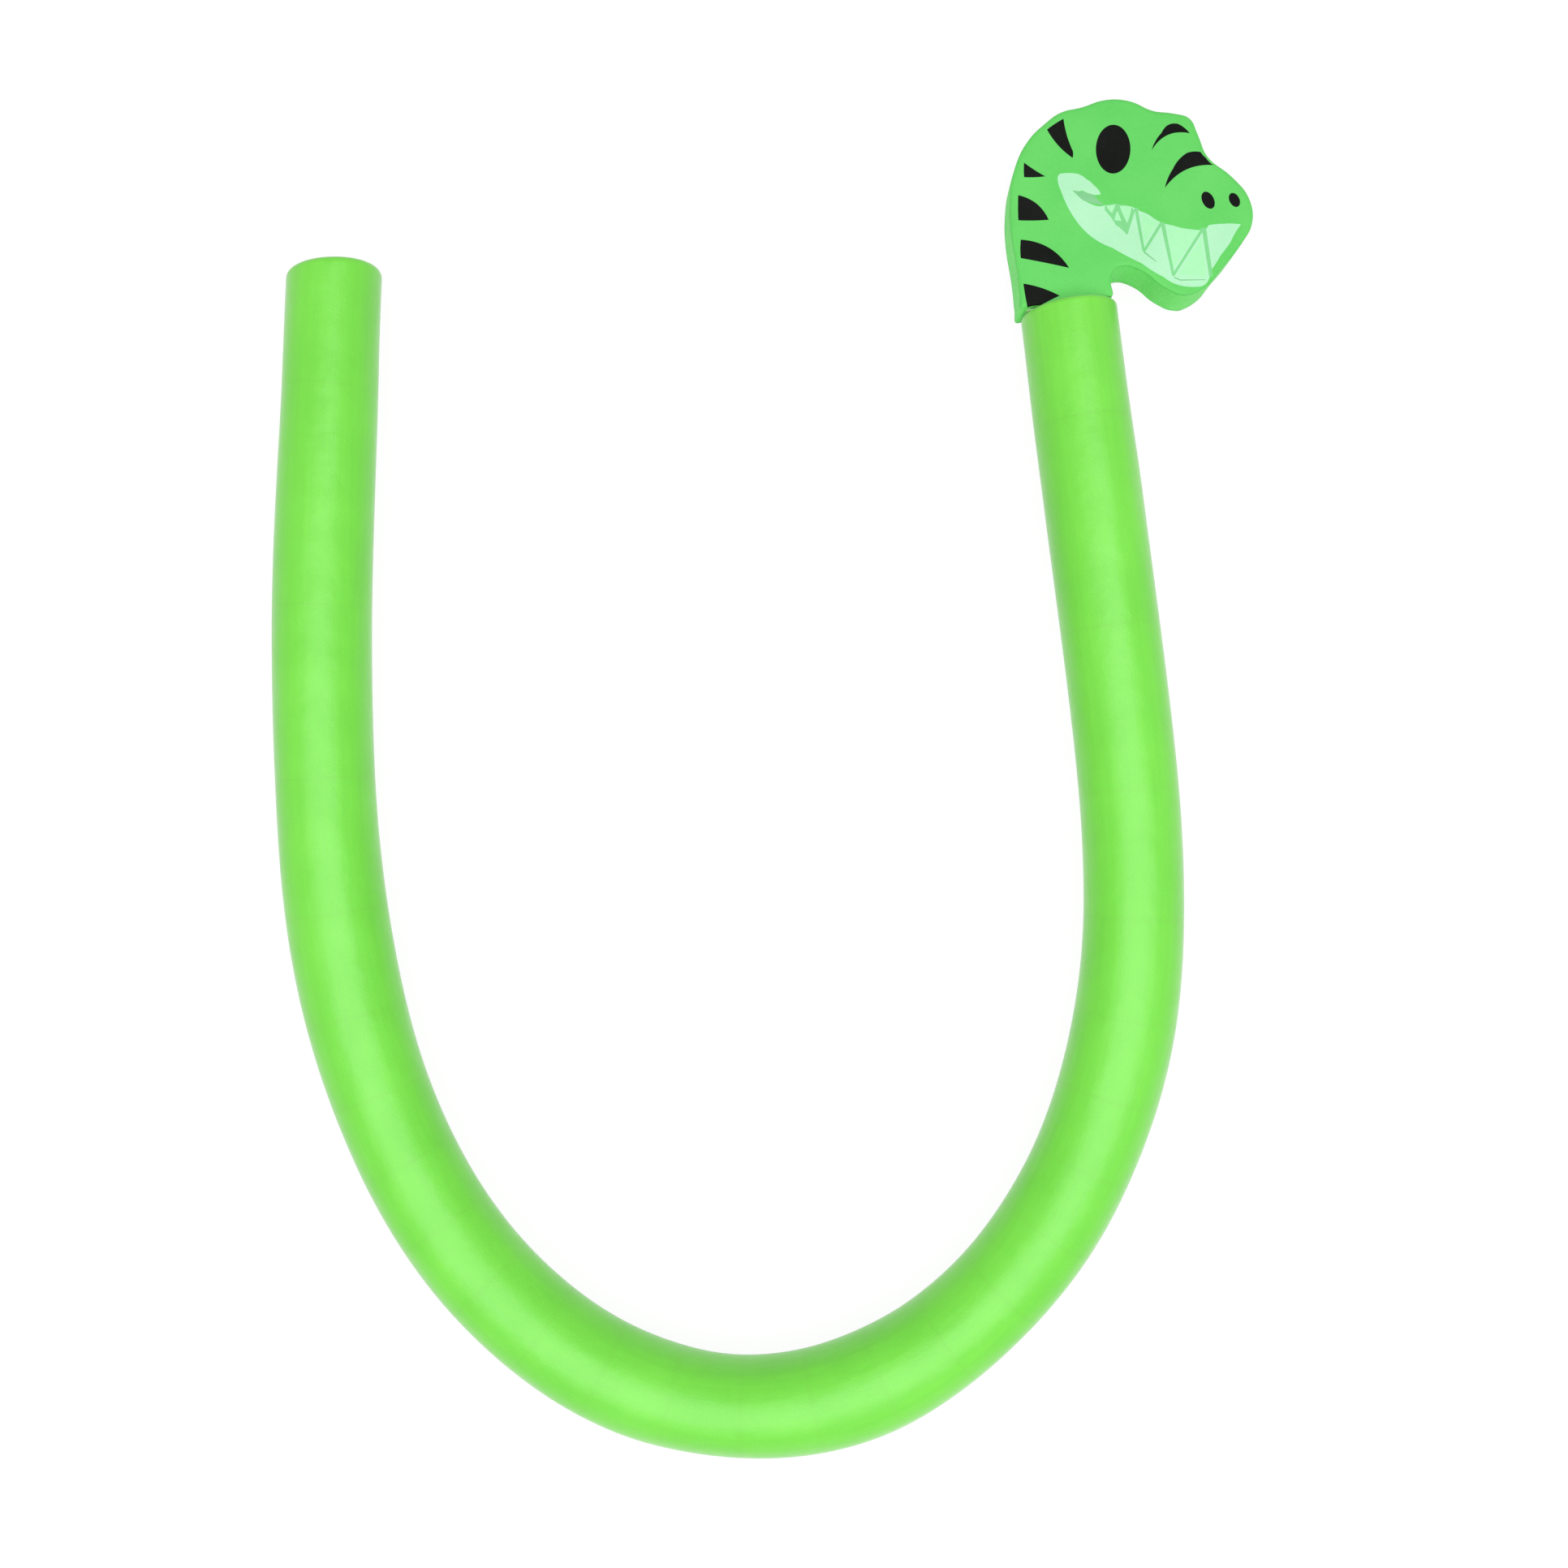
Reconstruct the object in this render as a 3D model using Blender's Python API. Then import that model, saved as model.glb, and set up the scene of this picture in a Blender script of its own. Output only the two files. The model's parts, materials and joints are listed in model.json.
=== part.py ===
"""Pool noodle with a flat dinosaur head, lying on its side in a U.

The foam tube is one extrusion. It is modelled as lengths that turn on upright axes, so that it can flex:
a short middle, seven short lengths in each bow and five longer ones in each leg. Each length ends in a
round knuckle, which turns in the cup of the next one. The right leg carries the head, a cut foam slab
with a printed skin on each face, which a foam dowel and a layer of glue hold on the tube's end.
Metres, +Z up. The tube lies on z = 0, and the U opens towards +Y.
"""

import math

import bmesh
import bpy
from mathutils import Matrix, Vector

# Tube
TUBE_DIAMETER = 0.060
BORE_DIAMETER = 0.020
TUBE_SIDES_RESOLUTION = 10
BORE_SIDES_RESOLUTION = 4
OPEN_END_SLANT = math.radians(10)

# Flexing lengths, measured along the middle of the tube, and the degrees that each turns through
MIDDLE_LENGTH = 0.045
BOW_STEP_LENGTH = 0.045
LEFT_LEG_LENGTH = 0.4968
RIGHT_LEG_LENGTH = 0.4614
LEG_GROWTH_SHARE = 1.28
MIDDLE_TURN = 14
LEFT_BOW_TURNS = (13, 12, 10, 9, 8, 7, 6)
RIGHT_BOW_TURNS = (13, 12, 11, 10, 9, 8, 7.5)
LEFT_LEG_TURNS = (6.5, 6, 5, 2, 2)
RIGHT_LEG_TURNS = (7, 7.5, 5, 0, 0)

# Knuckles between the lengths
KNUCKLE_MARGIN = 0.0006
JOINT_GAP = 0.0003
KNUCKLE_SIDES = 32
BITE_STEPS = 16
DEGREES_PER_SPAN = 7
KNUCKLE_SPANS = 2
MIDDLE_POINT_SHARES = (-1, -0.5, 0, 0.5, 1)
STRAIGHT_TURN = math.radians(0.01)

# Head slab
HEAD_WIDTH = 0.146
HEAD_HEIGHT = 0.119
HEAD_THICKNESS = 0.030
SKIN_THICKNESS = 0.0017
GLUED_GAP = 0.0003
OUTLINE_STEPS = 3
# Shares of the head's width from the tube's middle line, and of its height from the neck's cut
NECK_BACK_SHARE = (-0.212, 0)
NECK_FRONT_SHARE = (0.171, 0)
HEAD_OUTLINE_SHARES = (
    (-0.208, 0.20),
    (-0.213, 0.40),
    (-0.202, 0.55),
    (-0.162, 0.72),
    (-0.094, 0.847),
    (-0.016, 0.922),
    (0.052, 0.966),
    (0.140, 0.978),
    (0.245, 0.999),
    (0.341, 0.975),
    (0.430, 0.910),
    (0.517, 0.880),
    (0.575, 0.845),
    (0.601, 0.757),
    (0.628, 0.640),
    (0.717, 0.518),
    (0.775, 0.398),
    (0.775, 0.270),
    (0.713, 0.163),
    (0.626, 0.060),
    (0.549, -0.024),
    (0.465, -0.050),
    (0.384, 0.003),
    (0.301, 0.103),
    (0.220, 0.140),
    (0.182, 0.115),
)

# Dowel and glue that hold the head
DOWEL_DEPTH_IN_TUBE = 0.050
DOWEL_DEPTH_IN_HEAD = 0.050
DOWEL_CLEARANCE = 0.0007
DOWEL_SIDES = 16
GLUE_THICKNESS = 0.001
GLUE_SIDE_MARGIN = 0.004
GLUE_FACE_MARGIN = 0.0025
GLUE_ROUNDING = 0.003
GLUE_ROUNDING_STEPS = 3

# Every cutter runs this far past what it cuts
OVERRUN = 0.005
WELD_DISTANCE = 0.000005
SHARP_ANGLE = math.radians(30)

FOAM_GREEN = (0.21, 0.72, 0.10)
HEAD_GREEN = (0.18, 0.72, 0.17)
DOWEL_WHITE = (0.80, 0.80, 0.76)
GLUE_AMBER = (0.72, 0.62, 0.38)
FOAM_ROUGHNESS = 0.55
SKIN_ROUGHNESS = 0.45
GLUE_ROUGHNESS = 0.30

TUBE_RADIUS = TUBE_DIAMETER / 2
BORE_RADIUS = BORE_DIAMETER / 2
KNUCKLE_RADIUS = TUBE_RADIUS + KNUCKLE_MARGIN
CUP_RADIUS = KNUCKLE_RADIUS + JOINT_GAP
KNUCKLE_REACH = KNUCKLE_RADIUS + OVERRUN
OPEN_END_REACH = TUBE_RADIUS * math.tan(OPEN_END_SLANT) + OVERRUN
CORE_THICKNESS = HEAD_THICKNESS - 2 * (SKIN_THICKNESS + GLUED_GAP)


def clear_scene():
    for obj in list(bpy.data.objects):
        bpy.data.objects.remove(obj, do_unlink=True)


def new_collection(name):
    collection = bpy.data.collections.new(name)
    bpy.context.scene.collection.children.link(collection)
    return collection


def material(name, colour, roughness):
    made = bpy.data.materials.new(name)
    made.use_nodes = True
    shader = made.node_tree.nodes["Principled BSDF"]
    shader.inputs["Base Color"].default_value = (*colour, 1)
    shader.inputs["Roughness"].default_value = roughness
    shader.inputs["Metallic"].default_value = 0
    return made


def frame(name, parent, location, turn):
    """An empty that carries what follows it: its X runs along the tube, turned by turn about Z."""
    made = bpy.data.objects.new(name, None)
    parts.objects.link(made)
    made.parent = parent
    made.location = location
    made.rotation_euler = (0, 0, turn)
    return made


def arc_point(distance, length, turn):
    """The point at this distance along an arc that leaves the origin along X and turns by turn in length."""
    bend = turn / length * distance
    if abs(bend) < STRAIGHT_TURN:
        return Vector((distance, 0, 0))
    radius = distance / bend
    return Vector((radius * math.sin(bend), radius * (1 - math.cos(bend)), 0))


def mesh_object(curve_object, collection):
    """The curve object as a closed mesh object of the same name and place."""
    bpy.context.view_layer.update()
    graph = bpy.context.evaluated_depsgraph_get()
    mesh = bpy.data.meshes.new_from_object(curve_object.evaluated_get(graph))
    shape = bmesh.new()
    shape.from_mesh(mesh)
    bmesh.ops.remove_doubles(shape, verts=shape.verts, dist=WELD_DISTANCE)
    bmesh.ops.recalc_face_normals(shape, faces=shape.faces)
    shape.to_mesh(mesh)
    shape.free()
    name = curve_object.name
    parent = curve_object.parent
    place = curve_object.matrix_basis.copy()
    curve = curve_object.data
    bpy.data.objects.remove(curve_object)
    bpy.data.curves.remove(curve)
    made = bpy.data.objects.new(name, mesh)
    collection.objects.link(made)
    made.parent = parent
    made.matrix_basis = place
    return made


def curve_object(name, parent, points, dimensions):
    """A poly curve through the points, as an object of its own."""
    curve = bpy.data.curves.new(name, "CURVE")
    curve.dimensions = dimensions
    spline = curve.splines.new("POLY")
    spline.points.add(len(points) - 1)
    for point, place in zip(spline.points, points):
        point.co = (*place, 1)
    made = bpy.data.objects.new(name, curve)
    parts.objects.link(made)
    made.parent = parent
    return made


def round_bar(name, parent, points, radius, resolution, collection):
    bar = curve_object(name, parent, points, "3D")
    bar.data.bevel_depth = radius
    bar.data.bevel_resolution = resolution
    bar.data.use_fill_caps = True
    return mesh_object(bar, collection)


def as_cutter(obj):
    obj.hide_render = True
    obj.display_type = "WIRE"
    return obj


def cut(target, cutter):
    modifier = target.modifiers.new("Cut " + cutter.name, "BOOLEAN")
    modifier.operation = "DIFFERENCE"
    modifier.solver = "EXACT"
    modifier.object = cutter


def finish(obj, made_of):
    obj.data.materials.clear()
    obj.data.materials.append(made_of)
    obj.data.shade_smooth()
    obj.data.set_sharp_from_angle(angle=SHARP_ANGLE)


def cylinder(name, parent, place, radius, height, sides, collection):
    """An upright cylinder with its middle at place in the parent's frame."""
    shape = bmesh.new()
    bmesh.ops.create_cone(
        shape, cap_ends=True, segments=sides, radius1=radius, radius2=radius, depth=height
    )
    mesh = bpy.data.meshes.new(name)
    shape.to_mesh(mesh)
    shape.free()
    made = bpy.data.objects.new(name, mesh)
    collection.objects.link(made)
    made.parent = parent
    made.matrix_basis = place
    return made


def box(name, parent, place, size, collection):
    shape = bmesh.new()
    bmesh.ops.create_cube(shape, size=1, matrix=Matrix.Diagonal((*size, 1)))
    mesh = bpy.data.meshes.new(name)
    shape.to_mesh(mesh)
    shape.free()
    made = bpy.data.objects.new(name, mesh)
    collection.objects.link(made)
    made.parent = parent
    made.matrix_basis = place
    return made


def cup_cutter(name, carrier):
    """Hollows the start of a length for the knuckle before it."""
    height = TUBE_DIAMETER + 2 * OVERRUN
    made = cylinder(name, carrier, Matrix(), CUP_RADIUS, height, KNUCKLE_SIDES, cutters)
    return as_cutter(made)


def knuckle_cutter(name, carrier):
    """Leaves a round end on the length whose end the carrier marks: a block with a half disc bitten out."""
    half_width = TUBE_RADIUS + OVERRUN
    reach = 2 * KNUCKLE_RADIUS
    outline = [(reach, half_width, 0), (0, half_width, 0)]
    for step in range(BITE_STEPS + 1):
        angle = math.pi / 2 - math.pi * step / BITE_STEPS
        outline.append((KNUCKLE_RADIUS * math.cos(angle), KNUCKLE_RADIUS * math.sin(angle), 0))
    outline += [(0, -half_width, 0), (reach, -half_width, 0)]
    block = curve_object(name, carrier, outline, "2D")
    block.data.splines[0].use_cyclic_u = True
    block.data.fill_mode = "BOTH"
    block.data.extrude = half_width
    return as_cutter(mesh_object(block, cutters))


def tube_length(name, carrier, length, turn, past_end):
    """One length of tube from the carrier's origin. It runs this far past its end, for a cutter to shape."""
    spans = max(1, math.ceil(abs(math.degrees(turn)) / DEGREES_PER_SPAN))
    stops = [length * step / spans for step in range(spans + 1)]
    if past_end:
        stops += [length + past_end * step / KNUCKLE_SPANS for step in range(1, KNUCKLE_SPANS + 1)]
    bore_stops = [-OVERRUN, *stops[1:-1], stops[-1] + OVERRUN]
    path = [arc_point(stop, length, turn) for stop in stops]
    bore_path = [arc_point(stop, length, turn) for stop in bore_stops]
    bar = round_bar(name, carrier, path, TUBE_RADIUS, TUBE_SIDES_RESOLUTION, parts)
    bore = round_bar(name + "_bore", carrier, bore_path, BORE_RADIUS, BORE_SIDES_RESOLUTION, cutters)
    cut(bar, as_cutter(bore))
    cut(bar, cup_cutter(name + "_cup", carrier))
    finish(bar, foam)
    return bar


def middle_piece(carrier):
    """The middle of the tube, with a knuckle at each end, and the frames at its ends."""
    turn = math.radians(MIDDLE_TURN)
    half = MIDDLE_LENGTH / 2
    end = arc_point(half, MIDDLE_LENGTH, turn)
    right = frame("right_bow_1_axis", carrier, end, turn / 2)
    left = frame("left_bow_1_axis", carrier, (-end.x, end.y, 0), math.pi - turn / 2)
    bar_half = half + KNUCKLE_REACH
    bore_half = bar_half + OVERRUN
    path = [arc_point(share * bar_half, MIDDLE_LENGTH, turn) for share in MIDDLE_POINT_SHARES]
    bore_path = [arc_point(share * bore_half, MIDDLE_LENGTH, turn) for share in MIDDLE_POINT_SHARES]
    bar = round_bar("noodle_middle", carrier, path, TUBE_RADIUS, TUBE_SIDES_RESOLUTION, parts)
    bore = round_bar("middle_bore", carrier, bore_path, BORE_RADIUS, BORE_SIDES_RESOLUTION, cutters)
    cut(bar, as_cutter(bore))
    cut(bar, knuckle_cutter("middle_right_end", right))
    cut(bar, knuckle_cutter("middle_left_end", left))
    finish(bar, foam)
    return left, right


def half_of_tube(side, first_axis, bow_turns, leg_turns, leg_length, past_end):
    """The bow and the leg of one side, from the middle outwards. Returns its last length and the end's frame."""
    growth = [LEG_GROWTH_SHARE**step for step in range(len(leg_turns))]
    leg_lengths = [leg_length * share / sum(growth) for share in growth]
    steps = [(f"{side}_bow_{n}", BOW_STEP_LENGTH, turn) for n, turn in enumerate(bow_turns, 1)]
    legs = enumerate(zip(leg_lengths, leg_turns), 1)
    steps += [(f"{side}_leg_{n}", length, turn) for n, (length, turn) in legs]
    sense = 1 if side == "right" else -1
    carrier = first_axis
    for place, (name, length, degrees) in enumerate(steps, 1):
        turn = sense * math.radians(degrees)
        is_last = place == len(steps)
        next_frame = f"{side}_end" if is_last else steps[place][0] + "_axis"
        far = frame(next_frame, carrier, arc_point(length, length, turn), turn)
        bar = tube_length(name, carrier, length, turn, past_end if is_last else KNUCKLE_REACH)
        if not is_last:
            cut(bar, knuckle_cutter(name + "_end", far))
        carrier = far
    return bar, carrier


def trim_open_end(bar, carrier):
    """Cuts the open end a little off square."""
    size = (TUBE_RADIUS, TUBE_DIAMETER + 2 * OVERRUN, TUBE_DIAMETER + 2 * OVERRUN)
    place = Matrix.Rotation(OPEN_END_SLANT, 4, "Z") @ Matrix.Translation((size[0] / 2, 0, 0))
    cut(bar, as_cutter(box("open_end_cut", carrier, place, size, cutters)))


def head_outline(name, carrier, thickness, height):
    """A slab of the head's outline, thickness thick, with its middle at this height above the tube's axis."""
    shares = (NECK_BACK_SHARE, *HEAD_OUTLINE_SHARES, NECK_FRONT_SHARE)
    curve = bpy.data.curves.new(name, "CURVE")
    curve.dimensions = "2D"
    curve.fill_mode = "BOTH"
    curve.extrude = thickness / 2
    curve.resolution_u = OUTLINE_STEPS
    spline = curve.splines.new("BEZIER")
    spline.bezier_points.add(len(shares) - 1)
    for number, (point, (across, along)) in enumerate(zip(spline.bezier_points, shares)):
        point.co = (across * HEAD_WIDTH, along * HEAD_HEIGHT, 0)
        kind = "VECTOR" if number in (0, len(shares) - 1) else "AUTO"
        point.handle_left_type = kind
        point.handle_right_type = kind
    spline.use_cyclic_u = True
    made = bpy.data.objects.new(name, curve)
    parts.objects.link(made)
    made.parent = carrier
    made.location = (0, 0, height)
    return mesh_object(made, parts)


def along_y(distance):
    """Lays an upright piece along the carrier's Y, with its middle at this distance."""
    return Matrix.Translation((0, distance, 0)) @ Matrix.Rotation(math.pi / 2, 4, "X")


def head_pieces(tube_end):
    """The head on the tube's end. Its frame has Y along the tube and X towards the snout."""
    rim = frame("head_joint", tube_end, (0, 0, 0), -math.pi / 2)
    seat = GLUED_GAP + GLUE_THICKNESS + GLUED_GAP
    neck_cut = frame("head_frame", rim, (0, seat, 0), 0)

    core = head_outline("head_core", neck_cut, CORE_THICKNESS, 0)
    depth = DOWEL_DEPTH_IN_HEAD + GLUED_GAP
    hole_length = depth + OVERRUN
    hole = cylinder(
        "dowel_hole",
        neck_cut,
        along_y(depth - hole_length / 2),
        BORE_RADIUS,
        hole_length,
        DOWEL_SIDES,
        cutters,
    )
    cut(core, as_cutter(hole))
    finish(core, head_foam)

    height = CORE_THICKNESS / 2 + GLUED_GAP + SKIN_THICKNESS / 2
    finish(head_outline("head_skin_front", neck_cut, SKIN_THICKNESS, height), skin)
    finish(head_outline("head_skin_back", neck_cut, SKIN_THICKNESS, -height), skin)

    dowel_length = DOWEL_DEPTH_IN_TUBE + seat + DOWEL_DEPTH_IN_HEAD
    dowel = cylinder(
        "joining_dowel",
        rim,
        along_y(dowel_length / 2 - DOWEL_DEPTH_IN_TUBE),
        BORE_RADIUS - DOWEL_CLEARANCE,
        dowel_length,
        DOWEL_SIDES,
        parts,
    )
    finish(dowel, dowel_foam)

    neck_width = (NECK_FRONT_SHARE[0] - NECK_BACK_SHARE[0]) * HEAD_WIDTH
    glue_size = (
        neck_width - 2 * GLUE_SIDE_MARGIN,
        GLUE_THICKNESS,
        CORE_THICKNESS - 2 * GLUE_FACE_MARGIN,
    )
    middle = (NECK_BACK_SHARE[0] + NECK_FRONT_SHARE[0]) * HEAD_WIDTH / 2
    place = Matrix.Translation((middle, GLUED_GAP + GLUE_THICKNESS / 2, 0))
    pad = box("glue_layer", rim, place, glue_size, parts)
    shape = bmesh.new()
    shape.from_mesh(pad.data)
    corners = [edge for edge in shape.edges if abs(edge.verts[0].co.y - edge.verts[1].co.y) > 0]
    bmesh.ops.bevel(
        shape,
        geom=corners,
        offset=GLUE_ROUNDING,
        offset_type="OFFSET",
        segments=GLUE_ROUNDING_STEPS,
        profile=0.5,
        affect="EDGES",
    )
    shape.to_mesh(pad.data)
    shape.free()
    gap = cylinder(
        "glue_hole",
        rim,
        along_y(seat / 2),
        BORE_RADIUS,
        seat + 2 * OVERRUN,
        DOWEL_SIDES,
        cutters,
    )
    cut(pad, as_cutter(gap))
    finish(pad, glue)


def centre_on_origin(carrier):
    """Moves the whole part so that its bounding box stands centred on the origin."""
    bpy.context.view_layer.update()
    graph = bpy.context.evaluated_depsgraph_get()
    corners = []
    for obj in parts.objects:
        if obj.type == "MESH":
            ready = obj.evaluated_get(graph)
            corners += [ready.matrix_world @ vertex.co for vertex in ready.data.vertices]
    low = [min(corner[axis] for corner in corners) for axis in range(3)]
    high = [max(corner[axis] for corner in corners) for axis in range(3)]
    carrier.location.x -= (low[0] + high[0]) / 2
    carrier.location.y -= (low[1] + high[1]) / 2
    carrier.location.z -= low[2]
    bpy.context.view_layer.update()


clear_scene()
parts = new_collection("pool_noodle")
cutters = new_collection("cutters")
foam = material("noodle_foam", FOAM_GREEN, FOAM_ROUGHNESS)
head_foam = material("head_foam", HEAD_GREEN, FOAM_ROUGHNESS)
skin = material("head_skin", HEAD_GREEN, SKIN_ROUGHNESS)
dowel_foam = material("dowel_foam", DOWEL_WHITE, FOAM_ROUGHNESS)
glue = material("glue", GLUE_AMBER, GLUE_ROUGHNESS)

whole = frame("noodle_frame", None, (0, 0, TUBE_RADIUS), 0)
left_axis, right_axis = middle_piece(whole)
open_length, open_end = half_of_tube(
    "left", left_axis, LEFT_BOW_TURNS, LEFT_LEG_TURNS, LEFT_LEG_LENGTH, OPEN_END_REACH
)
trim_open_end(open_length, open_end)
_, head_end = half_of_tube(
    "right", right_axis, RIGHT_BOW_TURNS, RIGHT_LEG_TURNS, RIGHT_LEG_LENGTH, 0
)
head_pieces(head_end)
centre_on_origin(whole)
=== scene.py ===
"""A pool noodle of green foam, bent into a U, with a flat foam dinosaur's head on one end.

Lengths are metres in the frame of the solids, except the head's print, which is drawn in millimetres.
"""

import json
import math

import bmesh
import bpy
import numpy as np
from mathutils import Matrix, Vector
from mathutils.geometry import delaunay_2d_cdt


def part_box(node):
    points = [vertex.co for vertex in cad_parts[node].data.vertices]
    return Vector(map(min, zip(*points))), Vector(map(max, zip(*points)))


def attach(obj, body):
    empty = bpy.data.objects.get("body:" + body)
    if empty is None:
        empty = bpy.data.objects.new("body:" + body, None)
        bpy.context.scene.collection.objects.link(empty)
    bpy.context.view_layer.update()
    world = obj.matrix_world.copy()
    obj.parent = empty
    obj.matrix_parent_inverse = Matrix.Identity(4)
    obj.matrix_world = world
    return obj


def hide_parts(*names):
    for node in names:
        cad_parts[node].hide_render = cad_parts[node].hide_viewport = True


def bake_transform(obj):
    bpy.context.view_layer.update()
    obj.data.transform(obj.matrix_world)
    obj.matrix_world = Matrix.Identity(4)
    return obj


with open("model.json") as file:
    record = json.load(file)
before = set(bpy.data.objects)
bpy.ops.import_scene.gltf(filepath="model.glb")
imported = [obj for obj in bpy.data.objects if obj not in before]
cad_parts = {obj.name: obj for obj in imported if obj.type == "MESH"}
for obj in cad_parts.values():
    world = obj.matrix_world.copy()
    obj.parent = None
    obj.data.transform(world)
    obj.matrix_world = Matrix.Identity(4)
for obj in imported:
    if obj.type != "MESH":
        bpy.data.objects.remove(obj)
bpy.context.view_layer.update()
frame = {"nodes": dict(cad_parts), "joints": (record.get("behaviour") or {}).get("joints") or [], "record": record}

MM = 0.001
POINT_DIGITS = 7
WELD_DISTANCE = 1e-6
FLAT_TOLERANCE = 1e-5

# The tube
MIDDLE_BODY = "noodle_middle"
BORE_RADIUS = 0.010
TUBE_SIDES = 64
RING_SPACING = 0.0035
SEAM_RING = 0.0003
OPEN_RIM_ROUNDING = 0.0042
HEAD_RIM_ROUNDING = 0.0028
BORE_RIM_ROUNDING = 0.0012
ROUNDING_STEPS = 5
SLANT_REACH = 0.04
OPEN_END_TAPER = 0.046
OPEN_END_TAPER_REACH = 0.22
HEAD_END_TAPER = 0.028
HEAD_END_TAPER_REACH = 0.13
CUT_DISH = 0.0004
CUT_RING_SHARES = (0.25, 0.5, 0.75)
UNEVENNESS = 0.00022
# Its waves: share of the whole, waves round the tube, radians to the metre along it, radians at the start
UNEVEN_WAVES = [(0.5, 2, 1 / 0.13, 0.0), (0.3, 3, -1 / 0.071, 1.0), (0.2, 5, 1 / 0.047, 2.0)]
# Where the soft tube strays sideways: metres from the open end, millimetres off its middle line
DRIFT = [
    (0.0, 0.0),
    (0.10, -1.4),
    (0.20, -1.1),
    (0.34, -2.0),
    (0.52, -2.1),
    (0.66, -0.9),
    (0.78, 0.0),
    (0.90, 1.3),
    (1.00, -0.2),
    (1.10, 0.3),
    (1.21, 1.1),
    (1.30, 0.5),
    (1.52, 0.5),
    (1.58, 0.0),
]
# Where it is pressed wider or slimmer: metres from the open end, metres of reach, millimetres on each side
BULGES = [(0.43, 0.12, 1.2), (0.82, 0.06, -1.0), (0.91, 0.05, 0.7), (1.00, 0.08, -0.8), (1.18, 0.09, 0.8)]
FACE_TOUCH = 0.0002
SMOOTH_ANGLE = math.radians(38)

# The joining dowel
DOWEL_SIDES = 40
DOWEL_RINGS = 12
DOWEL_CHAMFER = 0.0015
DOWEL_HOLE_CLEARANCE = 0.0004

# The head's slab
OUTLINE_SPACING = 0.0016
LONG_SIDE = 0.006
EDGE_ROUNDING_WIDTH = 0.0030
EDGE_ROUNDING_DEPTH = 0.0013
EDGE_RING_SHARES = (0.04, 0.12, 0.25, 0.45, 0.7, 1.0)
CORE_INSET = 0.00018
CORE_BULGE = 0.00035
CORE_STEPS = 8

# Foam and ink: waves or cells to the metre, depths in metres, and the least and greatest roughness
STREAK_STRETCH = (1.0, 1.0, 0.05)
STREAK_SCALE = 260.0
STREAK_DETAIL = 4.0
STREAK_SHARE = 0.35
STREAK_DEPTH = 0.00006
TUBE_MOTTLING_SCALE = 22.0
TUBE_GRAIN_SCALE = 900.0
TUBE_GRAIN_SHARE = 0.2
TUBE_DENT_SCALE = 45.0
TUBE_DENT_DEPTH = 0.0010
TUBE_CELL_SCALE = 1100.0
TUBE_CELL_DEPTH = 0.00007
TUBE_ROUGHNESS = (0.34, 0.44)
TUBE_SPECULAR = 0.72
TUBE_SHEEN = 0.45
TUBE_SHEEN_ROUGHNESS = 0.40
PIT_SCALE = 650.0
PIT_DEPTH = 0.00022
PIT_SHARE = 0.45
CUT_MOTTLING_SCALE = 60.0
CUT_WAVE_SCALE = 140.0
CUT_WAVE_DEPTH = 0.00030
CUT_TONE_RANGE = (0.3, 0.6)
CUT_ROUGHNESS = (0.62, 0.78)
INK_CLOUD_SCALE = 26.0
INK_GRAIN_SCALE = 700.0
INK_GRAIN_SHARE = 0.25
SKIN_WAVE_SCALE = 70.0
SKIN_WAVE_DEPTH = 0.00035
SKIN_CELL_SCALE = 800.0
SKIN_CELL_DEPTH = 0.00006
SKIN_ROUGHNESS = (0.42, 0.52)
SKIN_SPECULAR = 0.3
BLACK_SPECULAR = 0.04
GLUE_CLOUD_SCALE = 180.0
GLUE_CLOUD_DEPTH = 0.0003
GLUE_ROUGHNESS = (0.2, 0.35)
CELL_RANDOMNESS = 0.9
NOISE_DETAIL = 3.0
PLAIN_DETAIL = 2.0
NOISE_MIDDLE = (0.25, 0.75)
TONE_RANGE = (0.35, 0.65)
# Light that spreads inside: how far red, green and blue go, and each material's share and reach in metres
GLOW_RADIUS = (0.7, 1.0, 0.4)
TUBE_GLOW = (0.25, 0.003)
CUT_GLOW = (0.2, 0.002)
SKIN_GLOW = (0.12, 0.0015)
GLUE_GLOW = (0.3, 0.002)

# Colours, linear
TUBE_LIGHT = (0.182, 0.735, 0.040)
TUBE_DEEP = (0.146, 0.660, 0.027)
CUT_LIGHT = (0.235, 0.760, 0.100)
CUT_DEEP = (0.165, 0.660, 0.060)
HEAD_LIGHT = (0.136, 0.650, 0.126)
HEAD_DEEP = (0.107, 0.600, 0.107)
WALL_LIGHT = (0.222, 0.880, 0.205)
WALL_DEEP = (0.165, 0.800, 0.150)
MINT_LIGHT = (0.470, 0.870, 0.555)
MINT_DEEP = (0.420, 0.820, 0.495)
TOOTH_LIGHT = (0.420, 0.890, 0.485)
TOOTH_DEEP = (0.378, 0.850, 0.440)
LINE_LIGHT = (0.230, 0.690, 0.280)
LINE_DEEP = (0.190, 0.630, 0.230)
CREASE_LIGHT = (0.235, 0.610, 0.285)
CREASE_DEEP = (0.200, 0.550, 0.245)
INK_LIGHT = (0.010, 0.011, 0.010)
INK_DEEP = (0.005, 0.006, 0.005)
DOWEL_LIGHT = (0.820, 0.820, 0.780)
DOWEL_DEEP = (0.700, 0.700, 0.660)
GLUE_LIGHT = (0.560, 0.720, 0.440)
GLUE_DEEP = (0.430, 0.600, 0.320)
FLOOR_WHITE = (0.860, 0.860, 0.860)

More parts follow.
